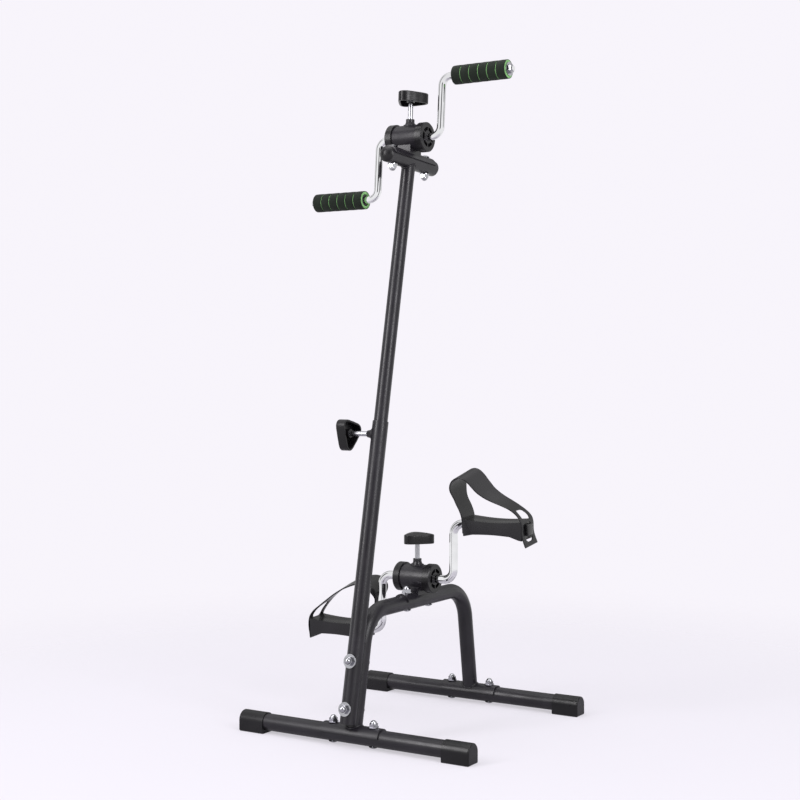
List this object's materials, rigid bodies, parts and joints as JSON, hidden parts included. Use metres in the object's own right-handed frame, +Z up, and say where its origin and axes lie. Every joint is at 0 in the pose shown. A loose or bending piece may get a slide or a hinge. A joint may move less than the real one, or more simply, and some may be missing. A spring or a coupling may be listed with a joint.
{
  "type": "pedal exerciser",
  "caption": "Arm and leg pedal exerciser: a floor stand with strapped foot pedals on a lower crank, and a height-adjustable leaning post with hand cranks, each crank with a friction knob.",
  "frame": {"origin": "on the floor, at the middle of the footprint", "axes": "+Z up; X along the base tubes and the crank axes; the post stands at the -Y end and leans towards +Y"},
  "size_m": [0.424, 0.4208, 1.0675],
  "materials": {
    "black_paint": "satin black powder coat",
    "chrome_rod": "polished chrome",
    "bright_zinc": "bright zinc plate",
    "inner_steel": "plain turned steel",
    "black_plastic": "satin moulded plastic",
    "pedal_plastic": "fine-grained moulded plastic",
    "strap_rubber": "smooth soft rubber",
    "brake_pad": "natural nylon",
    "grip_black": "black foam rubber",
    "grip_green": "green foam rubber"
  },
  "bodies": {
    "frame": {"front_base_tube": "black_paint", "rear_base_tube": "black_paint", "front_left_foot_cap": "black_plastic", "front_right_foot_cap": "black_plastic", "rear_left_foot_cap": "black_plastic", "rear_right_foot_cap": "black_plastic", "arch_tube": "black_paint", "front_saddle": "black_paint", "rear_saddle": "black_paint", "base_bolts": "bright_zinc", "base_washers": "bright_zinc", "base_nuts": "bright_zinc", "mast_lower_tube": "black_paint", "mast_clamp_boss": "black_paint", "mast_bolts": "bright_zinc", "mast_washers": "bright_zinc", "mast_nuts": "bright_zinc", "lower_housing_tube": "black_paint", "lower_housing_saddle": "black_paint", "lower_screw_boss": "black_paint", "lower_left_bearing": "black_plastic", "lower_right_bearing": "black_plastic", "lower_housing_bolts": "bright_zinc", "lower_housing_washers": "bright_zinc", "lower_housing_nuts": "bright_zinc"},
    "lower_crank": {"lower_crank_rod": "chrome_rod", "lower_friction_drum": "inner_steel", "pedal_retainers": "bright_zinc"},
    "right_pedal": {"right_pedal_body": "pedal_plastic", "right_pedal_strap": "strap_rubber"},
    "left_pedal": {"left_pedal_body": "pedal_plastic", "left_pedal_strap": "strap_rubber"},
    "lower_brake": {"lower_tension_screw": "bright_zinc", "lower_brake_shoe": "brake_pad"},
    "lower_knob": {"lower_tension_knob": "black_plastic"},
    "clamp": {"clamp_screw": "bright_zinc"},
    "clamp_handle": {"clamp_knob": "black_plastic"},
    "mast_slider": {"mast_foot_plug": "black_plastic"},
    "head": {"mast_upper_tube": "black_paint", "head_tube": "black_paint", "head_plugs": "black_plastic", "upper_housing_tube": "black_paint", "upper_housing_saddle": "black_paint", "upper_screw_boss": "black_paint", "upper_left_bearing": "black_plastic", "upper_right_bearing": "black_plastic", "upper_housing_bolts": "bright_zinc", "upper_housing_washers": "bright_zinc", "upper_housing_nuts": "bright_zinc"},
    "upper_crank": {"upper_crank_rod": "chrome_rod", "upper_friction_drum": "inner_steel", "grip_end_washers": "bright_zinc", "grip_end_nuts": "bright_zinc"},
    "right_grip": {"right_grip_skin": "grip_black", "right_grip_core": "grip_green"},
    "left_grip": {"left_grip_skin": "grip_black", "left_grip_core": "grip_green"},
    "upper_brake": {"upper_tension_screw": "bright_zinc", "upper_brake_shoe": "brake_pad"},
    "upper_knob": {"upper_tension_knob": "black_plastic"}
  },
  "joints": [
    {"name": "lower_crank_spin", "type": "hinge", "parent": "frame", "child": "lower_crank", "pos_m": [0, 0.01521, 0.2392], "axis": [1, 0, 0], "continuous": true},
    {"name": "right_pedal_spin", "type": "hinge", "parent": "lower_crank", "child": "right_pedal", "pos_m": [0.1498, 0.01521, 0.3322], "axis": [1, 0, 0], "continuous": true},
    {"name": "left_pedal_spin", "type": "hinge", "parent": "lower_crank", "child": "left_pedal", "pos_m": [-0.1498, 0.01521, 0.1462], "axis": [1, 0, 0], "continuous": true},
    {"name": "lower_tension_screw_feed", "type": "slide", "parent": "frame", "child": "lower_brake", "axis": [0, 0, 1], "range_m": [0, 0.00375]},
    {"name": "lower_tension_knob_turn", "type": "hinge", "parent": "lower_brake", "child": "lower_knob", "pos_m": [0, 0.01521, 0.2392], "axis": [0, 0, 1], "range_deg": [0, 1080]},
    {"name": "clamp_screw_feed", "type": "slide", "parent": "frame", "child": "clamp", "axis": [-1, 0, 0], "range_m": [0, 0.00375]},
    {"name": "clamp_knob_turn", "type": "hinge", "parent": "clamp", "child": "clamp_handle", "pos_m": [0, -0.10073, 0.47944], "axis": [-1, 0, 0], "range_deg": [0, 1080]},
    {"name": "mast_slide", "type": "slide", "parent": "frame", "child": "mast_slider", "axis": [0, 0.1994, 0.9799], "range_m": [-0.12, 0.08]},
    {"name": "head_swivel", "type": "hinge", "parent": "mast_slider", "child": "head", "pos_m": [0, -0.0111, 0.92], "axis": [0, 0.1994, 0.9799], "continuous": true},
    {"name": "upper_crank_spin", "type": "hinge", "parent": "head", "child": "upper_crank", "pos_m": [0, -0.00898, 0.95664], "axis": [1, 0, 0], "continuous": true},
    {"name": "right_grip_spin", "type": "hinge", "parent": "upper_crank", "child": "right_grip", "pos_m": [0.1288, -0.00112, 1.05232], "axis": [1, 0, 0], "continuous": true},
    {"name": "left_grip_spin", "type": "hinge", "parent": "upper_crank", "child": "left_grip", "pos_m": [-0.1288, -0.01685, 0.86096], "axis": [1, 0, 0], "continuous": true},
    {"name": "upper_tension_screw_feed", "type": "slide", "parent": "head", "child": "upper_brake", "axis": [0, 0.0576, 0.9983], "range_m": [0, 0.00375]},
    {"name": "upper_tension_knob_turn", "type": "hinge", "parent": "upper_brake", "child": "upper_knob", "pos_m": [0, -0.00898, 0.95664], "axis": [0, 0.0576, 0.9983], "range_deg": [0, 1080]}
  ],
  "couplings": [
    {"joint": "lower_tension_knob_turn", "follows": "lower_tension_screw_feed", "rad_per_m": 5026.5},
    {"joint": "clamp_knob_turn", "follows": "clamp_screw_feed", "rad_per_m": 5026.5},
    {"joint": "upper_tension_knob_turn", "follows": "upper_tension_screw_feed", "rad_per_m": 5026.5}
  ]
}
